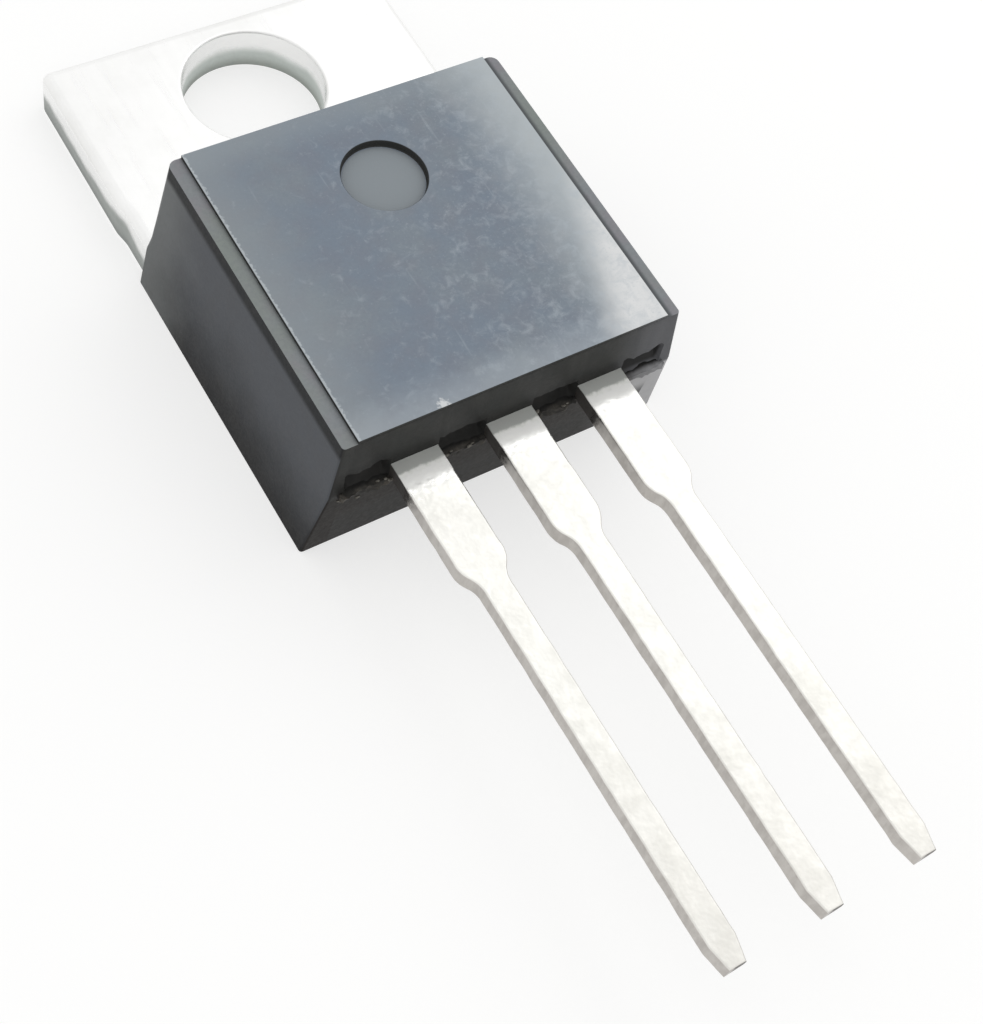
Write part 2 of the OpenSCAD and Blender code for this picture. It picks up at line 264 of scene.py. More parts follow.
def pick(kind, test):
    """Selects the vertices, edges or faces whose middle, and direction or normal, pass a test."""
    bpy.ops.mesh.select_mode(type=kind)
    bpy.ops.mesh.select_all(action="DESELECT")
    shape = bmesh.from_edit_mesh(bpy.context.object.data)
    found = 0
    for part in {"VERT": shape.verts, "EDGE": shape.edges, "FACE": shape.faces}[kind]:
        if kind == "VERT":
            wanted = test(part.co, None)
        elif kind == "EDGE":
            start, end = (v.co for v in part.verts)
            wanted = test((start + end) / 2, (end - start).normalized())
        else:
            wanted = test(part.calc_center_median(), part.normal)
        if wanted:
            part.select_set(True)
            found += 1
    shape.select_flush_mode()
    bmesh.update_edit_mesh(bpy.context.object.data)
    if not found:
        raise RuntimeError(f"nothing was picked on {bpy.context.object.name}")


def slice_at(axis, *places, test=None):
    """Cuts along planes across an axis: the whole mesh, or only the faces that pass a test."""
    for place in places:
        if test:
            pick("FACE", test)
        else:
            bpy.ops.mesh.select_all(action="SELECT")
        bpy.ops.mesh.bisect(plane_co=[place if i == axis else 0 for i in range(3)],
                            plane_no=[float(i == axis) for i in range(3)], threshold=0.00001)


def move(x=0.0, y=0.0, z=0.0):
    bpy.ops.transform.translate(value=(x, y, z))


def spread(x=1.0, y=1.0, z=1.0, about=(0, 0, 0)):
    bpy.ops.transform.resize(value=(x, y, z), center_override=about)


def pull(x=0.0, y=0.0, z=0.0):
    """Extrudes the selected faces along a vector."""
    bpy.ops.mesh.extrude_region_move(TRANSFORM_OT_translate={"value": (x, y, z)})


def round_off(width, steps):
    """Bevels the selected edges to a radius."""
    bpy.ops.mesh.bevel(offset=width, segments=steps, profile=0.5, affect="EDGES", clamp_overlap=True)


def remember(group):
    """Puts the selected vertices into a vertex group of their own."""
    bpy.context.object.vertex_groups.new(name=group)
    bpy.ops.object.vertex_group_assign()


# Object mode


def take_up(piece, others=()):
    """Leaves edit mode and makes a piece the active one, with others selected beside it."""
    clear_off()
    for each in (*others, piece):
        each.select_set(True)
    bpy.context.view_layer.objects.active = piece


def use_modifier(piece, kind, **settings):
    """Gives a piece a modifier and applies it."""
    take_up(piece)
    added = piece.modifiers.new(kind.title(), kind)
    for name, value in settings.items():
        setattr(added, name, value)
    bpy.ops.object.modifier_apply(modifier=added.name)


def cut_away(piece, tool):
    """Takes a tool's shape out of a piece, and deletes the tool."""
    use_modifier(piece, "BOOLEAN", operation="DIFFERENCE", solver="EXACT", object=tool)
    bpy.data.objects.remove(tool, do_unlink=True)


def join(piece, others):
    """Makes other objects part of a piece, as they are."""
    take_up(piece, others)
    bpy.ops.object.join()


def roll_edges(piece, width, steps, share):
    """Rounds each edge to the share of the width that a function of its middle and direction gives."""
    take_up(piece)
    data = piece.data
    marks = data.attributes.new("bevel_weight_edge", "FLOAT", "EDGE")
    for i, edge in enumerate(data.edges):
        start, end = (data.vertices[v].co for v in edge.vertices)
        marks.data[i].value = share((start + end) / 2, (end - start).normalized())
    use_modifier(piece, "BEVEL", width=width, segments=steps, limit_method="WEIGHT")
    data.attributes.remove(data.attributes["bevel_weight_edge"])


def roughen(piece, group, direction, size, depth):
    """Moves a group's vertices by a cloudy pattern of a size and depth in millimetres."""
    pattern = bpy.data.textures.new("clouds", "CLOUDS")
    pattern.noise_scale = size
    pattern.noise_depth = 2
    use_modifier(piece, "DISPLACE", texture=pattern, texture_coords="LOCAL", direction=direction,
                 strength=depth, mid_level=0.5, vertex_group=group)
    bpy.data.textures.remove(pattern)


def finish_piece(piece, node):
    """Smooths a piece with its flat faces kept flat, makes it metres and hands it to the frame."""
    take_up(piece)
    bpy.ops.object.shade_smooth_by_angle(angle=SMOOTH_BELOW)
    use_modifier(piece, "WEIGHTED_NORMAL", keep_sharp=True, weight=50)
    piece.scale = (MM, MM, MM)
    settle()
    piece.vertex_groups.clear()
    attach(piece, "root")
    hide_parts(node)


def plan(context):
    """The sizes in millimetres that the pieces share: the detail sizes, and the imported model's places."""
    s = context.scene.regulator_sizes
    at = SimpleNamespace(**{name: getattr(s, name) / MM for name in s.bl_rna.properties.keys()
                            if name not in ("rna_type", "name") and not name.endswith("draft")})
    body_low, body_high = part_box("moulded_body")
    sink_low, sink_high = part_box("heatsink_and_input_lead")
    lead_low, lead_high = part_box("adjust_lead")
    at.half = body_high.x / MM
    at.top = body_high.z / MM
    at.strip = at.top - at.field_step
    at.lead_face = body_low.y / MM + at.flash_reach
    at.tab_end = sink_high.y / MM
    at.tab_face = at.tab_end - at.tab_open
    at.tab_half = sink_high.x / MM
    at.pad_end = at.tab_end - at.pad_reach
    at.tip = sink_low.y / MM
    at.lead_low = lead_low.z / MM
    at.lead_high = lead_high.z / MM
    at.mark = (0.0, at.tab_face - (at.top - at.tab_thickness) * math.tan(s.end_draft) - at.mark_inset)

    at.side_x = lambda z: at.half - z * math.tan(s.side_draft)
    at.far_y = lambda z: at.tab_face - max(0.0, z - at.tab_thickness) * math.tan(s.end_draft)
    at.near_y = lambda z: at.lead_face + abs(z - at.lead_low) * math.tan(
        s.under_draft if z < at.lead_low else s.end_draft)
    at.band_half = at.side_x(at.lead_high) - at.corner_radius - 0.1
    return at


# Materials

# Settings that many nodes share: a soft step, and a mix of two colours
SMOOTH = {"interpolation_type": "SMOOTHSTEP"}
COLOUR = {"out": 2, "data_type": "RGBA"}
# Matt epoxy shines very little
EPOXY = {"IOR": 1.55, "Specular IOR Level": 0.08}


def fill(node, inputs):
    """Gives a node's inputs values, colours by their hex codes, or links."""
    for socket, value in dict(inputs).items():
        if isinstance(value, bpy.types.NodeSocket):
            node.id_data.links.new(value, node.inputs[socket])
        else:
            node.inputs[socket].default_value = paint(value) if isinstance(value, str) else value


def add_node(tree, kind, inputs=(), out=0, **settings):
    """Adds a node, sets it, fills its inputs, and returns one of its outputs, or with none named the node."""
    node = tree.nodes.new("ShaderNode" + kind)
    for name, value in settings.items():
        setattr(node, name, value)
    fill(node, inputs)
    return node.outputs[out] if out is not None else node


def start_nodes(owner):
    """Empties the nodes of a material or a world, and returns the function that adds to them."""
    owner.use_nodes = True
    owner.node_tree.nodes.clear()
    return partial(add_node, owner.node_tree)


def new_material(name):
    """An empty material: it, what adds its nodes, its surface, its place in millimetres, and that place and
    its normal split."""
    material = bpy.data.materials.new(name)
    add = start_nodes(material)
    surface = add("BsdfPrincipled", out=None)
    add("OutputMaterial", {"Surface": surface.outputs["BSDF"]}, out=None)
    source = add("TexCoord", out=None).outputs
    place = add("Mapping", {"Vector": source["Object"], "Scale": (1 / MM,) * 3})
    split = [add("SeparateXYZ", {0: vector}, out=None).outputs for vector in (place, source["Normal"])]
    return material, add, surface, place, *split


def lay(add, colour, *coats):
    """Lays coats over a colour. Before its own colour a coat has its mask, or else a value, where on it the
    coat starts and where it is full, and its share there."""
    for *cover, coat in coats:
        if len(cover) > 1:
            cover = [add("MapRange", dict(zip((0, 1, 2, 4), cover)), **SMOOTH)]
        colour = add("Mix", {0: cover[0], 6: colour, 7: coat}, **COLOUR)
    return colour


def moulded_epoxy(finish, at):
    """Black epoxy moulding compound filled with silica, moulded in an eroded steel mould.

    The walls are a dark satin, blackened towards the foot by painted shade and paler at the far end by
    painted light. The raised field's grey-blue is partly the bloom of its filler and partly a painted sheen;
    painted sheen makes it paler at its edges and near white at the near right corner, and it has fine specks.
    The ejector pin's mark is smoother.
    """
    material, add, surface, place, (x, y, z), (_, ny, nz) = new_material("Moulded epoxy, eroded finish")
    edge, mark = at.field_width / 2, at.mark_width / 2
    # Haze in patches of 2 mm, clouds of 0.6 mm, the mould's grain at 0.1 mm, and specks of filler at 0.06 mm
    haze, cloud, grain, speck, spark = (
        add("TexNoise", {"Vector": place, "Scale": scale, "Detail": detail, "Roughness": rough})
        for scale, detail, rough in ((0.5, 4.0, 0.55), (1.7, 4.0, 0.6), (10.0, 4.0, 0.65), (15.0, 2.0, 0.5),
                                     (16.0, 2.0, 0.6)))
    hazy, cloudy, grainy = (
        add("MapRange", {0: pattern, 1: low, 2: high}, **SMOOTH)
        for pattern, low, high in ((haze, 0.35, 0.68), (cloud, 0.38, 0.66), (grain, 0.38, 0.66)))
    scuffed, gritty, tinted, worn = (
        add("Math", {0: pattern, 1: share}, operation="MULTIPLY")
        for pattern, share in ((cloudy, 0.08), (grainy, 0.3), (cloudy, 0.3), (grainy, 0.22)))
    # Heights and places that wander with a pattern
    height, along, over, wide, near, rim = (
        add("Math", {0: pattern, 1: share, 2: axis}, operation="MULTIPLY_ADD")
        for pattern, share, axis in ((haze, 1.6, z), (haze, 1.4, y), (cloud, 0.5, z), (cloud, 0.9, x),
                                     (cloud, 0.9, y), (grain, -0.25, x)))

    # The long walls: painted shade blackens them towards the foot, painted light pales them towards the far
    # end, and a painted dark reflection runs along their rounded top edge
    side = lay(add, "#151516", (height, 0.6, 4.1, 1.0, finish.wall), (along, -5.6, -3.0, 0.85, "#7f8282"),
               (z, at.strip - 0.48, at.strip - 0.26, 0.9, "#141618"),
               (z, at.strip, at.strip + 0.02, 1.0, "#505457"))

    # The ends: brown-black below the leads, darkened there too by painted shade; darker just over the leads
    # by painted shade, greyer towards the right and pale at the lower right by painted light, and blacker in
    # the break beside the leads by painted shade
    low = add("MapRange", {0: z, 1: at.lead_low, 2: at.lead_low - 0.2}, **SMOOTH)
    above = add("Math", {0: 1.0, 1: low}, operation="SUBTRACT")
    dark = add("MapRange", {0: over, 1: at.lead_high + 0.85, 2: at.lead_high + 0.35, 4: 0.75}, **SMOOTH)
    dark = add("Math", {0: dark, 1: above}, operation="MULTIPLY")
    across = add("Math", {0: x}, operation="ABSOLUTE")
    inward = add("Math", {0: across, 1: at.half - 0.7}, operation="LESS_THAN")
    hollow_shade = add("MapRange", {0: y, 1: at.lead_face + 0.08, 2: at.lead_face + 0.15, 4: 0.85}, **SMOOTH)
    by_leads = add("Math", {0: y, 1: at.lead_face + 0.6}, operation="LESS_THAN")
    for mask in (by_leads, inward):
        hollow_shade = add("Math", {0: hollow_shade, 1: mask}, operation="MULTIPLY")
    end = lay(add, finish.end, (low, "#1b1714"), (dark, "#272726"),
              (x, 2.6, 4.1, 1.0, lay(add, "#66676a", (low, "#d0d0d2"))), (hollow_shade, "#2a2a29"))
    ending = add("Math", {0: ny}, operation="ABSOLUTE")
    ending = add("MapRange", {0: ending, 1: 0.6, 2: 0.8}, **SMOOTH)
    ending = add("Math", {0: ending, 1: inward}, operation="MAXIMUM")
    wall = lay(add, side, (ending, end), (scuffed, "#5b5651"))

    # The side strips: their grey is partly a painted sheen, and painted shade beside the field's step makes a
    # dark line, 0.2 mm wide on the right and thin on the left
    off = add("Math", {0: x, 1: -0.07}, operation="ADD")
    off = add("Math", {0: off}, operation="ABSOLUTE")
    strip = lay(add, finish.strip, (cloudy, "#918e94"), (hazy, "#8c938f"), (gritty, "#7c8083"),
                (off, edge + 0.14, edge + 0.02, 0.85, "#54585a"))

    # The field: its grey-blue, partly bloom and partly painted sheen, then the paler places of painted sheen
    # and a painted highlight along its left edge, then a pale fleck, wisps, specks, fine scratches and the
    # mark's floor
    # Where the painted sheen is strongest, towards the near right corner
    corner = 1.3 * edge - 0.45 * at.near_y(at.top)
    for pattern, share in ((x, -1.3), (y, 0.45), (cloud, 0.9)):
        corner = add("Math", {0: pattern, 1: share, 2: corner}, operation="MULTIPLY_ADD")
    from_fleck, from_mark = (
        add("VectorMath", {0: place, 1: spot}, out="Value", operation="DISTANCE")
        for spot in ((-1.95, at.near_y(at.top) + 0.05, at.top), (*at.mark, at.top - at.mark_depth)))
    fleck = add("Math", {0: grain, 1: 0.5, 2: from_fleck}, operation="MULTIPLY_ADD")
    in_mark = add("MapRange", {0: from_mark, 1: mark - 0.02, 2: mark - 0.08}, **SMOOTH)
    turned = add("Mapping", {"Vector": place, "Rotation": (0.0, 0.0, 0.6), "Scale": (5.0, 0.35, 1.0)})
    scratch = add("TexNoise", {"Vector": turned, "Scale": 1.6, "Detail": 1.0, "Roughness": 0.5})
    wisp = add("TexNoise", {"Vector": place, "Scale": 3.2, "Detail": 5.0, "Roughness": 0.65,
                            "Distortion": 0.5})
    speck = add("Math", {0: x, 1: 0.012, 2: speck}, operation="MULTIPLY_ADD")
    for axis, share in ((x, 0.02), (y, -0.008)):
        wisp = add("Math", {0: axis, 1: share, 2: wisp}, operation="MULTIPLY_ADD")
    # The coats by x, y, wide, near and corner are painted sheen, and the rim coat is a painted highlight
    field = lay(add, finish.field, (hazy, "#8a939b"), (tinted, "#85868f"), (worn, "#78828d"),
                (x, -2.4, -4.2, 0.5, "#9da3a5"), (y, -5.0, -3.9, 0.5, "#9ea6ab"),
                (wide, 2.3, 4.8, 0.95, "#bfc6c9"), (near, -10.9, -12.0, 0.5, "#b0b7bd"),
                (corner, 3.0, 1.4, 0.98, "#eceded"), (rim, -0.05 - edge, -0.1 - edge, 0.6, "#cfd6d9"),
                (fleck, 0.44, 0.3, 0.8, "#eceeee"), (wisp, 0.56, 0.88, 0.42, "#bcc5cc"),
                (speck, 0.58, 0.85, 0.3, "#bcc5cc"), (scratch, 0.7, 0.8, 0.15, "#bcc5cc"),
                (in_mark, "#939a9f"))

    # Where the strips and the field are: level, at the top, and for the field raised or in the mark
    from_step = add("Math", {0: z, 1: at.strip}, operation="SUBTRACT")
    from_step = add("Math", {0: from_step, 1: in_mark}, operation="MAXIMUM")
    up, on_top, in_strip, raised, in_field = (
        add("MapRange", {0: value, 1: start, 2: stop}, **SMOOTH)
        for value, start, stop in ((nz, 0.7, 0.93), (z, at.strip - 0.3, at.strip - 0.2),
                                   (across, edge - 0.01, edge), (from_step, 0.03, 0.06),
                                   (across, edge + 0.005, edge - 0.01)))
    on_top = add("Math", {0: on_top, 1: up}, operation="MULTIPLY")
    in_strip = add("Math", {0: in_strip, 1: on_top}, operation="MULTIPLY")
    for mask in (on_top, raised):
        in_field = add("Math", {0: in_field, 1: mask}, operation="MULTIPLY")
    shade = lay(add, wall, (in_strip, strip), (in_field, field))
    plain = add("MapRange", {0: grain, 1: 0.3, 2: 0.7, 3: 0.4, 4: 0.52})
    dull = add("Math", {0: in_field, 1: 0.06, 2: plain}, operation="MULTIPLY_ADD")
    skin = add("Bump", {"Height": spark, "Strength": 0.3, "Distance": 0.008 * MM})
    skin = add("Bump", {"Height": haze, "Strength": 0.2, "Distance": 0.03 * MM, "Normal": skin})
    fill(surface, {"Base Color": shade, "Roughness": dull, "Normal": skin, **EPOXY})
    return material


def broken_resin(finish, at):
    """The same epoxy broken off the lead frame: rough, browner in patches, with painted shade and light."""
    material, add, surface, place, (x, y, _), _ = new_material("Broken flash of epoxy")
    patch = add("TexNoise", {"Vector": place, "Scale": 3.0, "Detail": 4.0, "Roughness": 0.65})
    # Painted light greys the flash towards the right, and painted shade blackens it where it goes into the
    # body
    shade = lay(add, finish.ledge, (patch, 0.4, 0.66, 1.0, "#59554f"), (x, 3.0, 3.9, 1.0, "#9a9a9c"),
                (y, at.lead_face - 0.1, at.lead_face + 0.06, 1.0, "#272726"))
    grit = add("TexNoise", {"Vector": place, "Scale": 14.0, "Detail": 3.0, "Roughness": 0.65})
    skin = add("Bump", {"Height": grit, "Strength": 0.6, "Distance": 0.02 * MM})
    fill(surface, {"Base Color": shade, "Roughness": 0.6, "Normal": skin, **EPOXY})
    return material


def resin_crumb(finish):
    """Splinters of resin that cling to the flash: paler than the moulding, with dark specks."""
    material, add, surface, place, _, _ = new_material("Resin crumbs")
    speck = add("TexNoise", {"Vector": place, "Scale": 14.0, "Detail": 3.0, "Roughness": 0.6})
    shade = lay(add, finish.crumb, (speck, 0.42, 0.62, 1.0, "#45413a"))
    skin = add("Bump", {"Height": speck, "Strength": 0.6, "Distance": 0.02 * MM})
    fill(surface, {"Base Color": shade, "Roughness": 0.55, "Normal": skin})
    return material


def tinned_copper(finish, at):
    """Copper dipped in matt tin after stamping.

    The tin lies pale and softly uneven on the faces, duller towards the tips and greyer on the sheared sides.
    It is greyer for its last 0.3 mm by the body, and the cut ends are dark.
    """
    material, add, surface, place, (x, y, _), (_, ny, nz) = new_material("Matt tin on copper, dipped")
    face = at.lead_face
    steep = add("Math", {0: nz}, operation="ABSOLUTE")
    flat = add("MapRange", {0: steep, 1: 0.45, 2: 0.8}, **SMOOTH)
    # Patches of the dip, 0.7 mm, its pits, drawn at 0.15 mm, and upright shear marks on the sides
    squeezed = add("Mapping", {"Vector": place, "Scale": (1.0, 1.0, 0.25)})
    patch, pits, shear = (
        add("TexNoise", {"Vector": vector, "Scale": scale, "Detail": 3.0, "Roughness": rough})
        for vector, scale, rough in ((place, 1.5, 0.55), (place, 7.0, 0.6), (squeezed, 5.0, 0.6)))
    # The patches show more towards the tips
    patchy = add("MapRange", {0: patch, 1: 0.38, 2: 0.66}, **SMOOTH)
    uneven = add("MapRange", {0: y, 1: -15.0, 2: -22.0, 3: 0.25, 4: 0.75}, **SMOOTH)
    patchy = add("Math", {0: patchy, 1: uneven}, operation="MULTIPLY")
    stained, ragged, drifting = (
        add("Math", {0: pattern, 1: share, 2: y}, operation="MULTIPLY_ADD")
        for pattern, share in ((pits, 0.5), (pits, 0.1), (patch, 0.4)))
    # Duller towards the tip, stained by the flux near the body, and greyer for its last 0.3 mm
    top = lay(add, finish.tin, (patchy, "#dad9d3"), (y, -19.0, at.tip, 0.35, "#d3d0ca"),
              (y, face - 1.1, face - 0.6, 1.0, "#fbfbf8"), (stained, face - 0.2, face + 0.1, 0.35, "#b9c0ac"),
              (ragged, face - 0.29, face - 0.2, 1.0, "#b2b4b0"))
    # The sheared sides are darker for 0.9 mm from the body
    darker_near_body = add("MapRange", {0: stained, 1: face - 0.72, 2: face - 0.55}, **SMOOTH)
    side = lay(add, finish.sheared, (shear, 0.35, 0.7, 0.6, "#b0aba6"), (darker_near_body, "#3a3734"))
    # The cut end is dark but for the corner that the shear bent over
    across = add("Math", {0: x, 1: at.pitch / 2, 2: -at.pitch / 2}, operation="WRAP")
    at_end, by_tip, off_corner = (
        add("MapRange", {0: value, 1: start, 2: stop}, **SMOOTH)
        for value, start, stop in ((ny, -0.6, -0.9), (y, at.tip + 0.05, at.tip + 0.02),
                                   (across, -0.14, -0.04)))
    for mask in (by_tip, off_corner):
        at_end = add("Math", {0: at_end, 1: mask}, operation="MULTIPLY")
    shade = lay(add, side, (flat, top), (at_end, finish.cut))
    # Flux and oxide leave the last 0.5 mm by the body matt
    matt = add("MapRange", {0: drifting, 1: face - 0.55, 2: face - 0.18, 3: 1.0, 4: 0.08}, **SMOOTH)
    bare = add("Math", {0: 1.0, 1: darker_near_body}, operation="SUBTRACT")
    bare = add("Math", {0: bare, 1: flat}, operation="MAXIMUM")
    matt = add("Math", {0: matt, 1: bare}, operation="MULTIPLY")
    dull = add("MapRange", {0: pits, 1: 0.3, 2: 0.7, 3: 0.34, 4: 0.46})
    for value, start, stop, share in ((y, face - 1.8, face - 0.8, -0.12),
                                      (drifting, face - 0.55, face - 0.3, 0.35)):
        step = add("MapRange", {0: value, 1: start, 2: stop, 4: share}, **SMOOTH)
        dull = add("Math", {0: dull, 1: step})
    skin = add("Bump", {"Height": pits, "Strength": 0.12, "Distance": 0.01 * MM})
    skin = add("Bump", {"Height": patch, "Strength": 0.5, "Distance": 0.06 * MM, "Normal": skin})
    fill(surface, {"Base Color": shade, "Metallic": matt, "Roughness": dull, "Normal": skin})
    return material


def plated_tab(finish, at):
    """Rolled copper, stamped and then plated with tin over nickel.

    The faces are satin, with faint rolling lines. A stamped edge is burnished above and torn grey below.
    """
    material, add, surface, place, (_, y, z), (_, _, nz) = new_material("Tin over nickel, satin")
    steep = add("Math", {0: nz}, operation="ABSOLUTE")
    edge = add("MapRange", {0: steep, 1: 0.45, 2: 0.2}, **SMOOTH)
    # Rolling lines 0.1 mm apart along the tab, smudges of 2 mm, upright shear marks, and the tear's wandering
    along, upright = (add("Mapping", {"Vector": place, "Scale": scale})
                      for scale in ((1.0, 0.04, 1.0), (1.0, 1.0, 0.3)))
    rolled, smudge, shear, wander = (
        add("TexNoise", {"Vector": vector, "Scale": scale, "Detail": detail, "Roughness": rough})
        for vector, scale, detail, rough in ((along, 9.0, 3.0, 0.6), (place, 0.5, 4.0, 0.6),
                                             (upright, 8.0, 3.0, 0.65), (place, 0.9, 3.0, 0.6)))
    # The tear fades out about 0.65 mm up, higher at the waist, and wanders by 0.07 mm
    line = add("MapRange", {0: wander, 1: 0.3, 2: 0.7, 3: 0.56, 4: 0.7})
    off_waist = add("Math", {0: y, 1: at.tab_face + 1.35}, operation="SUBTRACT")
    off_waist = add("Math", {0: off_waist}, operation="ABSOLUTE")
    at_waist = add("MapRange", {0: off_waist, 1: 0.9, 2: 0.0, 4: 0.2}, **SMOOTH)
    line = add("Math", {0: line, 1: at_waist})
    over = add("Math", {0: z, 1: line}, operation="SUBTRACT")
    below = add("MapRange", {0: over, 1: 0.16, 2: -0.2}, **SMOOTH)
    torn = add("Math", {0: edge, 1: below}, operation="MULTIPLY")
    # Painted light makes the hole's wall paler than the outer edges
    from_hole = add("VectorMath", {0: place, 1: (0.0, 0.0, 0.6)}, out="Value", operation="DISTANCE")
    lower = add("MapRange", {0: z, 1: 0.45, 2: 0.0}, **SMOOTH)
    tear = lay(add, finish.torn, (lower, "#8e9290"), (shear, 0.35, 0.65, 0.5, "#a3a7a4"),
               (from_hole, 2.4, 2.2, 1.0, lay(add, "#cbd1cd", (lower, "#a0a5a0"))))
    face = lay(add, finish.plate, (smudge, 0.4, 0.7, 0.5, "#ebebe9"))
    shade = lay(add, face, (edge, "#fcfcfb"), (torn, tear))
    # The rolled rims are matt, and so is the tear
    plain = add("MapRange", {0: rolled, 1: 0.3, 2: 0.7, 3: 0.26, 4: 0.38})
    plain = add("Math", {0: edge, 1: -0.12, 2: plain}, operation="MULTIPLY_ADD")
    bent = add("MapRange", {0: steep, 1: 0.98, 2: 0.85, 4: 0.3}, **SMOOTH)
    dull = add("Math", {0: plain, 1: bent})
    for mask, share in ((edge, -0.3), (torn, 0.32)):
        dull = add("Math", {0: mask, 1: share, 2: dull}, operation="MULTIPLY_ADD")
    level, ripped = (add("Math", {0: one, 1: other}, operation="MULTIPLY")
                     for one, other in ((steep, rolled), (shear, torn)))
    skin = add("Bump", {"Height": level, "Strength": 0.12, "Distance": 0.004 * MM})
    skin = add("Bump", {"Height": ripped, "Strength": 0.5, "Distance": 0.025 * MM, "Normal": skin})
    fill(surface, {"Base Color": shade, "Metallic": 1.0, "Roughness": dull, "Normal": skin})
    return material


def passivated_silicon(finish):
    """A silicon die under its glass: dark and mirror-smooth, with the pale tracks of its circuit."""
    material, add, surface, place, _, _ = new_material("Silicon under glass")
    # Blocks of circuit 0.4 by 0.3 mm between tracks of 0.02 mm
    shade = add("TexBrick", {"Vector": place, "Scale": 1.0, "Color1": finish.silicon, "Color2": "#3c414b",
                             "Mortar": "#8d8f94", "Mortar Size": 0.02, "Brick Width": 0.42,
                             "Row Height": 0.3})
    grain = add("TexNoise", {"Vector": place, "Scale": 4.0, "Detail": 2.0})
    dull = add("MapRange", {0: grain, 3: 0.08, 4: 0.2})
    skin = add("Bump", {"Height": grain, "Strength": 0.1, "Distance": 0.002 * MM})
    fill(surface, {"Base Color": shade, "Roughness": dull, "IOR": 1.9, "Normal": skin})
    return material


def soft_solder(finish):
    """Lead-rich solder that has flowed and set: dull grey with a soft mottle."""
    material, add, surface, place, _, _ = new_material("Soft solder, set")
    mottle = add("TexNoise", {"Vector": place, "Scale": 5.0, "Detail": 3.0, "Roughness": 0.6})
    shade = lay(add, finish.solder, (mottle, "#7f8183"))
    dull = add("MapRange", {0: mottle, 3: 0.3, 4: 0.5})
    skin = add("Bump", {"Height": mottle, "Strength": 0.3, "Distance": 0.01 * MM})
    fill(surface, {"Base Color": shade, "Metallic": 1.0, "Roughness": dull, "Normal": skin})
    return material


def drawn_aluminium(finish):
    """Drawn aluminium bond wire: bright, with faint marks of the die along it."""
    material, add, surface, place, _, _ = new_material("Aluminium wire, drawn")
    marks = add("TexNoise", {"Vector": place, "Scale": 20.0, "Detail": 2.0, "Roughness": 0.6})
    shade = lay(add, finish.wire, (marks, "#aeb0b2"))
    dull = add("MapRange", {0: marks, 3: 0.2, 4: 0.34})
    skin = add("Bump", {"Height": marks, "Strength": 0.2, "Distance": 0.003 * MM})
    fill(surface, {"Base Color": shade, "Metallic": 1.0, "Roughness": dull, "Normal": skin})
    return material


# The pieces


def start_lead(name, at, low_y):
    """The length of a lead outside the body, drawn out of a block along its shoulders to the tip."""
    root, pin, end = at.root_width / 2, at.lead_width / 2, at.tip_width / 2
    shoulder = at.lead_face - at.shoulder_start
    bend = 2 * math.atan((root - pin) / at.shoulder_length)
    radius = at.shoulder_length / 2 / math.sin(bend)
    turns = [bend * i / BEND_STEPS for i in range(BEND_STEPS + 1)]
    outline = [(at.lead_face, root)]
    outline += [(shoulder - radius * math.sin(turn), root - radius * (1 - math.cos(turn))) for turn in turns]
    outline += [(shoulder - at.shoulder_length + radius * math.sin(turn), pin + radius * (1 - math.cos(turn)))
                for turn in reversed(turns[:-1])]
    outline += [(at.tip + at.tip_length, pin), (at.tip, end)]
    lead = start_block(name, (-root, at.lead_face, at.lead_low), (root, low_y, at.lead_high))
    for (y0, half0), (y1, half1) in zip(outline, outline[1:]):
        # Straight lengths go in short steps, which let the sides wave
        steps = math.ceil((y0 - y1) / LEAD_STEP)
        for i in range(steps):
            start, stop = (half0 + (half1 - half0) * (i + k) / steps for k in (0, 1))
            reached = y0 + (y1 - y0) * i / steps
            pick("FACE", lambda middle, way: way.y < -ALONG and same(middle.y, reached))
            pull(y=(y1 - y0) / steps)
            spread(x=stop / start)
    pick("VERT", lambda middle, _: same(middle.y, at.tip) and middle.x > 0 and same(middle.z, at.lead_low))
    move(z=at.tip_rise)
    return lead


def soften_lead(lead, at):
    """The stamped lead's worn edges, and the slight waves of the tin on its sides."""
    def share(middle, way):
        """Outside the body, the upper edges wear most and the cut end's edges less than the sides'."""
        if middle.y > at.lead_face - 0.02 or abs(way.z) > ACROSS:
            return 0.0
        level = 1.0 if same(middle.z, at.lead_high) else 0.45
        if abs(way.x) > ALONG:
            return 0.7 * level if middle.y < at.tip + NEAR else 0.0
        return level
    roll_edges(lead, at.lead_edge, 3, share)
    bpy.ops.object.mode_set(mode="EDIT")
    pick("VERT", lambda middle, _: at.tip + 0.1 < middle.y < at.lead_face - 0.2)
    remember("tin")
    roughen(lead, "tin", "X", 0.35, 0.03)


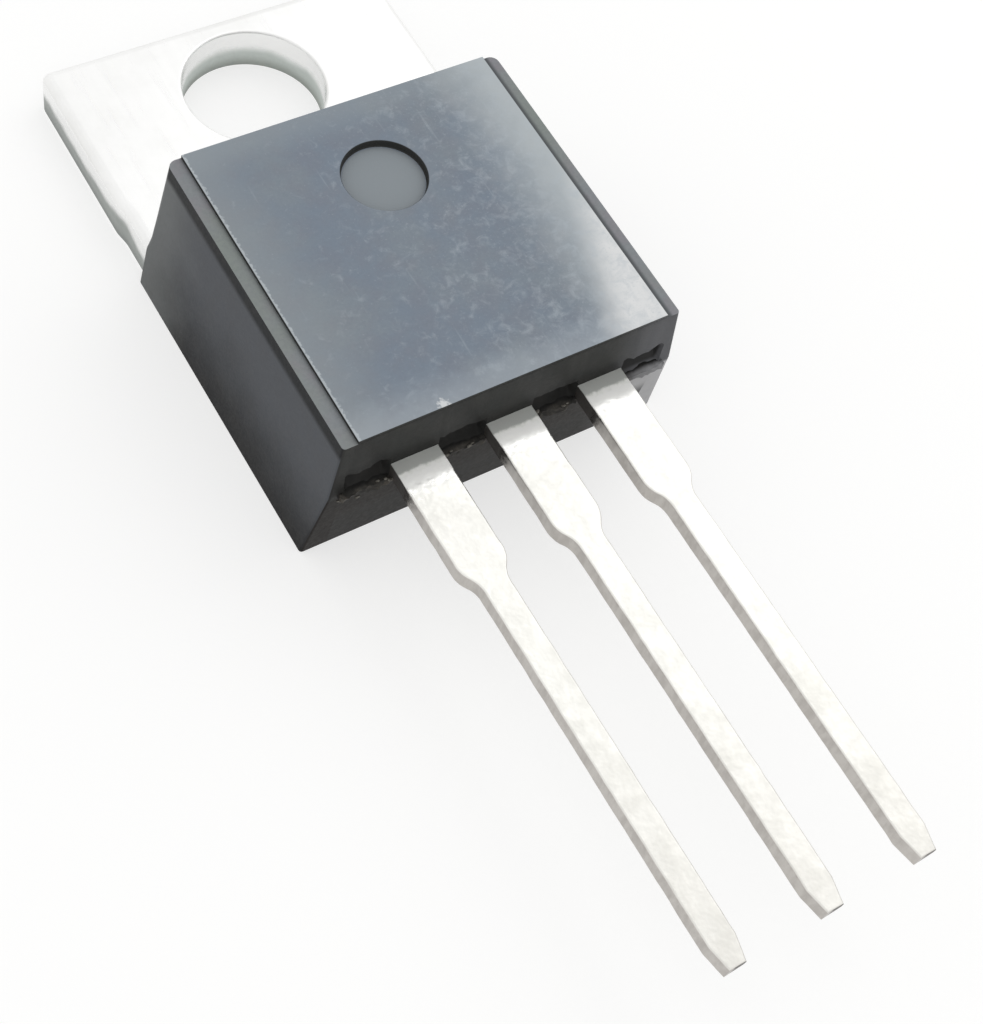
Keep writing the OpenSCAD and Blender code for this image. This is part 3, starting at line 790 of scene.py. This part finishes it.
class REGULATOR_OT_body(bpy.types.Operator):
    """Builds the moulded body, with its drafted walls, raised field, ejector mark and flash"""

    bl_idname = "regulator.body"
    bl_label = "Build Moulded Body"

    def execute(self, context):
        at, finish = plan(context), context.scene.regulator_finish
        body = start_block("moulding", (-at.half, at.lead_face, 0), (at.half, at.tab_face, at.strip))
        band = [side + rise for side, rises in zip((at.lead_low, at.lead_high), BREAK_LEVELS)
                for rise in rises]
        # The far corners are nearly square beside the tab, and round off over the flare at their foot
        flare = [(at.tab_thickness + rise, share) for rise, share in FLARE]
        levels = (*(z for z, _ in flare), at.lead_low, *band)
        slice_at(2, *levels)
        for z in (0.0, *levels, at.strip):
            pick("VERT", lambda middle, _: same(middle.z, z))
            spread(x=at.side_x(z) / at.half)
            for end, drafted in ((at.lead_face, at.near_y(z)), (at.tab_face, at.far_y(z))):
                pick("VERT", lambda middle, _: same(middle.z, z) and same(middle.y, end))
                move(y=drafted - end)

        # The raised field: the top is drawn in to the strips and pulled up
        pick("FACE", lambda middle, way: way.z > ALONG)
        bpy.ops.mesh.inset(thickness=INSET, depth=0)
        near, far, wall = at.near_y(at.strip), at.far_y(at.strip), at.side_x(at.strip)
        centre, depth = (far + near) / 2, far - near
        spread(x=at.field_width / 2 / (wall - INSET), y=(depth - 2 * FIELD_GAP) / (depth - 2 * INSET),
               about=(0, centre, 0))
        pull(z=at.field_step)
        for side, radius, steps in ((1, at.corner_radius, 6), (-1, at.near_corner, 4)):
            pick("EDGE", lambda middle, way: abs(way.z) > ALONG and abs(middle.x) > at.side_x(middle.z) - 0.05
                 and (middle.y - centre) * side > 0 and middle.z < at.strip)
            round_off(radius, steps)
        for side in (-1, 1):
            for z, share in ((0.0, 0.25), *flare):
                pick("VERT", lambda middle, _: same(middle.z, z)
                     and middle.x * side > at.side_x(z) - at.corner_radius - 2 * SLACK
                     and middle.y > at.far_y(z) - at.corner_radius - 2 * SLACK)
                spread(x=share, y=share, about=(side * at.side_x(z), at.far_y(z), z))

        # Beside the leads the end is hollowed unevenly, where the resin broke from the lead frame
        steps = 48
        slice_at(0, *(-at.band_half + at.band_half * i / steps for i in range(2 * steps + 1)),
                 test=lambda middle, way: way.y < -ALONG)

        def beside(x):
            """Whether a place across the part is clear of the leads and of the body's corners."""
            return abs(x) < at.band_half - 0.05 and min(
                abs(abs(x) - lead) for lead in (0.0, at.pitch)) > at.root_width / 2 + 0.03
        for z, inward in zip(band, BREAK_DEPTHS):
            pick("VERT", lambda middle, _: same(middle.z, z) and middle.y < at.lead_face + 0.2
                 and beside(middle.x))
            move(y=inward)
        pick("VERT", lambda middle, _: band[0] + NEAR < middle.z < band[3] + NEAR
             and middle.y < at.lead_face + 0.4 and beside(middle.x))
        remember("break")

        def share(middle, way):
            """The strips' long outer edges round off fully, the field's edges and the foot's by a third."""
            if abs(way.z) > ACROSS:
                return 0.0
            if same(middle.z, at.strip):
                outer = max(abs(middle.x) - wall, near - middle.y, middle.y - far) + at.corner_radius
                if abs(middle.x) < at.field_width / 2 + SLACK or outer < NEAR:
                    return 0.0
                return 0.1 + 0.9 * way.y ** 2
            if same(middle.z, at.top):
                return 0.33
            return 0.3 if same(middle.z, 0) else 0.0
        roll_edges(body, at.edge_radius, 4, share)
        for way, size, depth in (("Y", 0.3, 0.14), ("Z", 0.5, 0.3), ("Z", 0.16, 0.08)):
            roughen(body, "break", way, size, depth)

        # The ejector pin's mark with its worn rim
        floor = at.top - at.mark_depth
        cut_away(body, start_drum("ejector_pin", (*at.mark, floor + 0.5), at.mark_width / 2, 1.0, 96))
        bpy.ops.object.mode_set(mode="EDIT")
        for z, width in ((at.top, 0.035), (floor, 0.03)):
            pick("EDGE", lambda middle, way: same(middle.z, z) and abs(
                math.dist(middle[:2], at.mark) - at.mark_width / 2) < SLACK)
            round_off(width, 3)

        # Room for the buried end of the tab, for the pad and for the ledges that hold it
        neck, pad, inside = at.tab_half - at.waist, at.pad_width / 2, at.tab_face - 0.2
        for half, start, stop, low in ((neck, at.tab_face - BURIED, at.tab_face + 2, -1),
                                       (pad, at.pad_end, inside, -1),
                                       (pad + LEDGE_REACH, at.pad_end, inside, LEDGE_LOW)):
            cut_away(body, start_block("room", (-half, start, low), (half, stop, at.tab_thickness)))

        epoxy, broken, crumb = moulded_epoxy(finish, at), broken_resin(finish, at), resin_crumb(finish)
        body.data.materials.append(epoxy)
        join(body, [self.foot(at, epoxy), *self.flash(at, broken), *self.crumbs(at, crumb)])
        body.name = body.data.name = "moulded_body_piece"
        finish_piece(body, "moulded_body")
        return {"FINISHED"}

    def foot(self, at, epoxy):
        """The hollow fillet where the body's end stands on the tab."""
        half = at.tab_half - at.waist - at.edge_roll
        r, y, z = at.foot_radius, at.tab_face, at.tab_thickness
        foot = start_block("foot", (-half, y - 0.1, z), (half, y + r, z + r))
        cut_away(foot, start_drum("hollow", (0, y + r, z + r), r, 2 * half + 1, 64, across=True))
        foot.data.materials.append(epoxy)
        return foot

    def flash(self, at, broken):
        """The ragged ledges of resin between the leads and beside them."""
        root = at.root_width / 2
        ledges = []
        for start, stop in ((-at.band_half - 0.1, -at.pitch - root), (root - at.pitch, -root),
                            (root, at.pitch - root), (at.pitch + root, at.band_half + 0.1)):
            ledge = start_block("flash", (start, at.lead_face - FLASH_OUT, at.lead_low - FLASH_UNDER),
                                (stop, at.lead_face + FLASH_IN, at.lead_low + FLASH_OVER))
            steps = round((stop - start) / 0.035)
            slice_at(0, *(start + (stop - start) * i / steps for i in range(1, steps)))
            slice_at(1, *(at.lead_face + 0.05 * i for i in range(-2, 4)))
            slice_at(2, at.lead_low - 0.06, at.lead_low + 0.01)
            pick("VERT", lambda middle, _: middle.y < at.lead_face + 0.25
                 and start + SLACK < middle.x < stop - SLACK)
            remember("edge")
            for way, size, depth in (("Y", 0.45, 0.24), ("Z", 0.5, 0.18), ("Z", 0.12, 0.04),
                                     ("Y", 0.12, 0.04)):
                roughen(ledge, "edge", way, size, depth)
            ledge.data.materials.append(broken)
            ledges.append(ledge)
        return ledges

    def crumbs(self, at, crumb):
        """Crumbs of resin by the roots of the leads, each a flattened ball with a rough surface."""
        bits = []
        for x, out, z, size in CRUMBS:
            clear_off()
            bpy.ops.mesh.primitive_ico_sphere_add(subdivisions=3, radius=size,
                                                  location=(x, at.near_y(z) - out, z))
            bit = bpy.context.object
            bit.scale = (1.5, 0.7, 0.8)
            settle()
            bpy.ops.object.mode_set(mode="EDIT")
            pick("VERT", lambda middle, _: True)
            remember("all")
            roughen(bit, "all", "NORMAL", 0.05, size * 1.1)
            bit.data.materials.append(crumb)
            bits.append(bit)
        return bits


class REGULATOR_OT_heatsink(bpy.types.Operator):
    """Builds the stamped heatsink: the open tab, the pad on the back and the centre lead"""

    bl_idname = "regulator.heatsink"
    bl_label = "Build Heatsink and Centre Lead"

    def execute(self, context):
        at, finish = plan(context), context.scene.regulator_finish
        thick, buried = at.tab_thickness, at.tab_face - BURIED
        tab = start_block("tab", (-at.tab_half, buried, 0), (at.tab_half, at.tab_end, thick))
        # The tab draws in next to the body
        bends = [(at.tab_face + WAIST_START - WAIST_LENGTH * i / WAIST_STEPS,
                  at.waist * (1 - math.cos(math.pi * i / WAIST_STEPS)) / 2) for i in range(WAIST_STEPS + 1)]
        slice_at(1, *(y for y, _ in bends))
        for y, inward in bends[1:]:
            pick("VERT", lambda middle, _: same(middle.y, y))
            spread(x=(at.tab_half - inward) / at.tab_half)
        pick("VERT", lambda middle, _: middle.y < buried + NEAR)
        spread(x=(at.tab_half - at.waist) / at.tab_half)
        pick("FACE", lambda middle, way: abs(way.z) > ALONG)
        bpy.ops.mesh.dissolve_limited(angle_limit=math.radians(0.5))
        pick("EDGE", lambda middle, way: abs(way.z) > ALONG and middle.y > at.tab_end - NEAR)
        round_off(at.tab_corner, 8)

        def share(middle, way):
            """The outer edges roll over fully above and a little below."""
            outer = abs(way.z) < ACROSS and middle.y > buried + NEAR and (
                abs(way.x) < 0.7 and abs(middle.x) > at.tab_half - 0.3
                or middle.y > at.tab_end - at.tab_corner)
            if not outer or abs(way.x) > ALONG and middle.y < at.tab_face + 2:
                return 0.0
            return 1.0 if middle.z > thick - NEAR else 0.15
        roll_edges(tab, at.edge_roll, 6, share)

        # The mounting hole: a narrow rolled rim above, a small burr below
        cut_away(tab, start_drum("punch", (0, 0, thick / 2), at.hole_width / 2, thick + 1, 128))
        bpy.ops.object.mode_set(mode="EDIT")
        for z, width, steps in ((thick, at.edge_roll / 4, 4), (0.0, 0.03, 2)):
            pick("EDGE", lambda middle, way: same(middle.z, z)
                 and abs(math.hypot(*middle[:2]) - at.hole_width / 2) < SLACK)
            round_off(width, steps)
        plate, tin = plated_tab(finish, at), tinned_copper(finish, at)
        tab.data.materials.append(plate)

        pad = start_block("pad", (-at.pad_width / 2, at.pad_end, 0), (at.pad_width / 2, buried, thick))
        slice_at(2, LEDGE_LOW)
        for side in (-1, 1):
            pick("FACE", lambda middle, way: way.x * side > ALONG and middle.z > LEDGE_LOW)
            pull(x=LEDGE_REACH * side)
        take_up(pad)
        pad.data.materials.append(plate)

        # The centre lead goes straight into the body, drops to the pad and ends in it
        low = thick - (at.lead_high - at.lead_low)
        lean = (at.lead_high - at.lead_low) * math.tan(DROP / 2)
        run = (at.lead_low - low) / math.tan(DROP)
        bend = at.pad_end - lean - run
        lead = start_lead("centre_lead", at, bend)
        pick("VERT", lambda middle, _: same(middle.y, bend) and middle.z > at.lead_high - NEAR)
        move(y=lean)
        pick("FACE", lambda middle, way: abs(middle.y - bend - lean / 2) < SLACK and way.y > 0.5)
        pull(y=run, z=low - at.lead_low)
        pull(y=PAD_HOLD)
        soften_lead(lead, at)
        lead.data.materials.append(tin)
        join(tab, [pad, lead])
        tab.name = tab.data.name = "heatsink_piece"
        finish_piece(tab, "heatsink_and_input_lead")
        return {"FINISHED"}


class REGULATOR_OT_outer_leads(bpy.types.Operator):
    """Builds the adjust lead and copies it for the output lead"""

    bl_idname = "regulator.outer_leads"
    bl_label = "Build Outer Leads"

    def execute(self, context):
        at, finish = plan(context), context.scene.regulator_finish
        tin = bpy.data.materials.get("Matt tin on copper, dipped") or tinned_copper(finish, at)
        post = at.lead_face + NECK
        first = start_lead("outer_lead", at, post)
        # Inside the body a wide post holds the lead, and a hole through it lets the resin in
        pick("FACE", lambda middle, way: way.y > ALONG)
        pull(y=POST_STEP)
        spread(x=POST_WIDTH / at.root_width)
        pull(y=POST_LENGTH)
        take_up(first)
        bpy.ops.object.duplicate(linked=False)
        second = bpy.context.object
        across, along, up = LOCK_PLACE
        for lead, side, node in ((first, -1, "adjust_lead"), (second, 1, "output_lead")):
            lock = start_drum("lock", (side * across, post + along, at.lead_low + up), LOCK_RADIUS, 2.0, 48)
            cut_away(lead, lock)
            bpy.ops.object.mode_set(mode="EDIT")
            bpy.ops.mesh.select_all(action="SELECT")
            move(x=side * at.pitch)
            soften_lead(lead, at)
            lead.data.materials.append(tin)
            lead.name = lead.data.name = node + "_piece"
            finish_piece(lead, node)
        return {"FINISHED"}

class REGULATOR_OT_inner_parts(bpy.types.Operator):
    """Gives the die, its solder and the bond wires inside the moulding their finishes"""

    bl_idname = "regulator.inner_parts"
    bl_label = "Finish Inner Parts"

    def execute(self, context):
        finish = context.scene.regulator_finish
        wire = drawn_aluminium(finish)
        for node, material in (("silicon_die", passivated_silicon(finish)),
                               ("die_solder", soft_solder(finish)), ("adjust_wire", wire),
                               ("output_wire", wire)):
            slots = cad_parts[node].data.materials
            if slots:
                slots[0] = material
            else:
                slots.append(material)
        return {"FINISHED"}


class REGULATOR_OT_stage(bpy.types.Operator):
    """Sets up the camera, the floor and the soft light"""

    bl_idname = "regulator.stage"
    bl_label = "Set Up Stage"

    def execute(self, context):
        scene, stage = context.scene, context.scene.regulator_stage
        self.camera(scene, stage)
        self.world(scene, stage)
        self.floor(stage)
        self.softbox(scene, stage)
        scene.view_settings.view_transform = "Standard"
        return {"FINISHED"}

    def camera(self, scene, stage):
        side, rise = stage.azimuth, stage.elevation
        back = Vector((math.sin(side) * math.cos(rise), -math.cos(side) * math.cos(rise), math.sin(rise)))
        right = (-back).cross(Vector((0, 0, 1))).normalized()
        up = right.cross(-back)
        turned = right * math.cos(stage.roll) + up * math.sin(stage.roll)
        upright = up * math.cos(stage.roll) - right * math.sin(stage.roll)
        data = bpy.data.cameras.new("camera")
        data.sensor_fit = "HORIZONTAL"
        data.sensor_width = SENSOR_W
        data.lens = stage.focal_pixels * SENSOR_W / FRAME_W
        data.clip_start, data.clip_end = 0.001, 10.0
        camera = bpy.data.objects.new("camera", data)
        camera.matrix_world = Matrix.LocRotScale(
            Vector(stage.target) + back * stage.distance,
            Matrix((turned, upright, back)).transposed().to_quaternion(), None)
        scene.collection.objects.link(camera)
        scene.camera = camera

    def world(self, scene, stage):
        """White for the camera and for reflections, and a plain level for light."""
        scene.world = bpy.data.worlds.new("studio")
        add = start_nodes(scene.world)
        ray = add("LightPath", out=None).outputs
        seen = add("Math", {0: ray["Is Camera Ray"], 1: ray["Is Glossy Ray"]}, operation="MAXIMUM")
        seen = add("Math", {0: seen, 1: ray["Is Transmission Ray"]}, operation="MAXIMUM")
        level = add("MapRange", {0: seen, 3: stage.sky, 4: 1.0})
        sky = add("Background", {"Color": (1, 1, 1, 1), "Strength": level})
        add("OutputWorld", {"Surface": sky}, out=None)

    def floor(self, stage):
        """A wide pale floor just under the part, lifted to white where it is seen."""
        floor = start_block("floor", (-FLOOR_HALF, -FLOOR_HALF, FLOOR_LOW),
                            (FLOOR_HALF, FLOOR_HALF, FLOOR_TOP))
        pick("EDGE", lambda middle, way: abs(way.z) > ALONG)
        round_off(FLOOR_CORNER, 6)
        take_up(floor)
        floor.scale = (MM, MM, MM)
        settle()
        material = bpy.data.materials.new("Pale paper floor")
        add = start_nodes(material)
        ray = add("LightPath", out=None).outputs
        mirrored = add("Math", {0: ray["Is Glossy Ray"], 1: FLOOR_MIRRORED}, operation="MULTIPLY")
        seen = add("Math", {0: ray["Is Camera Ray"], 1: mirrored}, operation="MAXIMUM")
        seen = add("Math", {0: seen, 1: ray["Is Transmission Ray"]}, operation="MAXIMUM")
        lift = add("Math", {0: seen, 1: stage.lift}, operation="MULTIPLY")
        paper = add("BsdfDiffuse", {"Color": stage.floor})
        glow = add("Emission", {"Color": (1, 1, 1, 1), "Strength": lift})
        both = add("AddShader", {0: paper, 1: glow})
        add("OutputMaterial", {"Surface": both}, out=None)
        floor.data.materials.append(material)

    def softbox(self, scene, stage):
        """One large soft lamp high over the far right side."""
        data = bpy.data.lights.new("softbox", "AREA")
        data.shape = "RECTANGLE"
        data.size, data.size_y = LAMP_SIZE
        place, aim = Vector(LAMP_PLACE), Vector(LAMP_AIM)
        data.energy = stage.softbox * data.size * data.size_y * math.pi
        lamp = bpy.data.objects.new("softbox", data)
        lamp.matrix_world = Matrix.LocRotScale(place, (place - aim).to_track_quat("Z", "Y"), None)
        scene.collection.objects.link(lamp)


class REGULATOR_PT_panel(bpy.types.Panel):
    """The regulator's sizes, finishes and stage, with a button for each piece"""

    bl_idname = "REGULATOR_PT_panel"
    bl_label = "Voltage Regulator"
    bl_space_type = "VIEW_3D"
    bl_region_type = "UI"
    bl_category = "Regulator"

    def draw(self, context):
        for operator in OPERATORS:
            self.layout.operator(operator.bl_idname)
        scene = context.scene
        for group in (scene.regulator_sizes, scene.regulator_finish, scene.regulator_stage):
            box = self.layout.box()
            for name in group.bl_rna.properties.keys():
                if name not in ("rna_type", "name"):
                    box.prop(group, name)


OPERATORS = (REGULATOR_OT_body, REGULATOR_OT_heatsink, REGULATOR_OT_outer_leads, REGULATOR_OT_inner_parts,
             REGULATOR_OT_stage)
GROUPS = (RegulatorSizes, RegulatorFinish, RegulatorStage)


def register():
    for kind in (*GROUPS, *OPERATORS, REGULATOR_PT_panel):
        bpy.utils.register_class(kind)
    bpy.types.Scene.regulator_sizes = PointerProperty(type=RegulatorSizes)
    bpy.types.Scene.regulator_finish = PointerProperty(type=RegulatorFinish)
    bpy.types.Scene.regulator_stage = PointerProperty(type=RegulatorStage)


def unregister():
    del bpy.types.Scene.regulator_stage
    del bpy.types.Scene.regulator_finish
    del bpy.types.Scene.regulator_sizes
    for kind in (REGULATOR_PT_panel, *reversed(OPERATORS), *reversed(GROUPS)):
        bpy.utils.unregister_class(kind)


def main():
    register()
    bpy.ops.regulator.body()
    bpy.ops.regulator.heatsink()
    bpy.ops.regulator.outer_leads()
    bpy.ops.regulator.inner_parts()
    bpy.ops.regulator.stage()


if __name__ == "__main__":
    main()
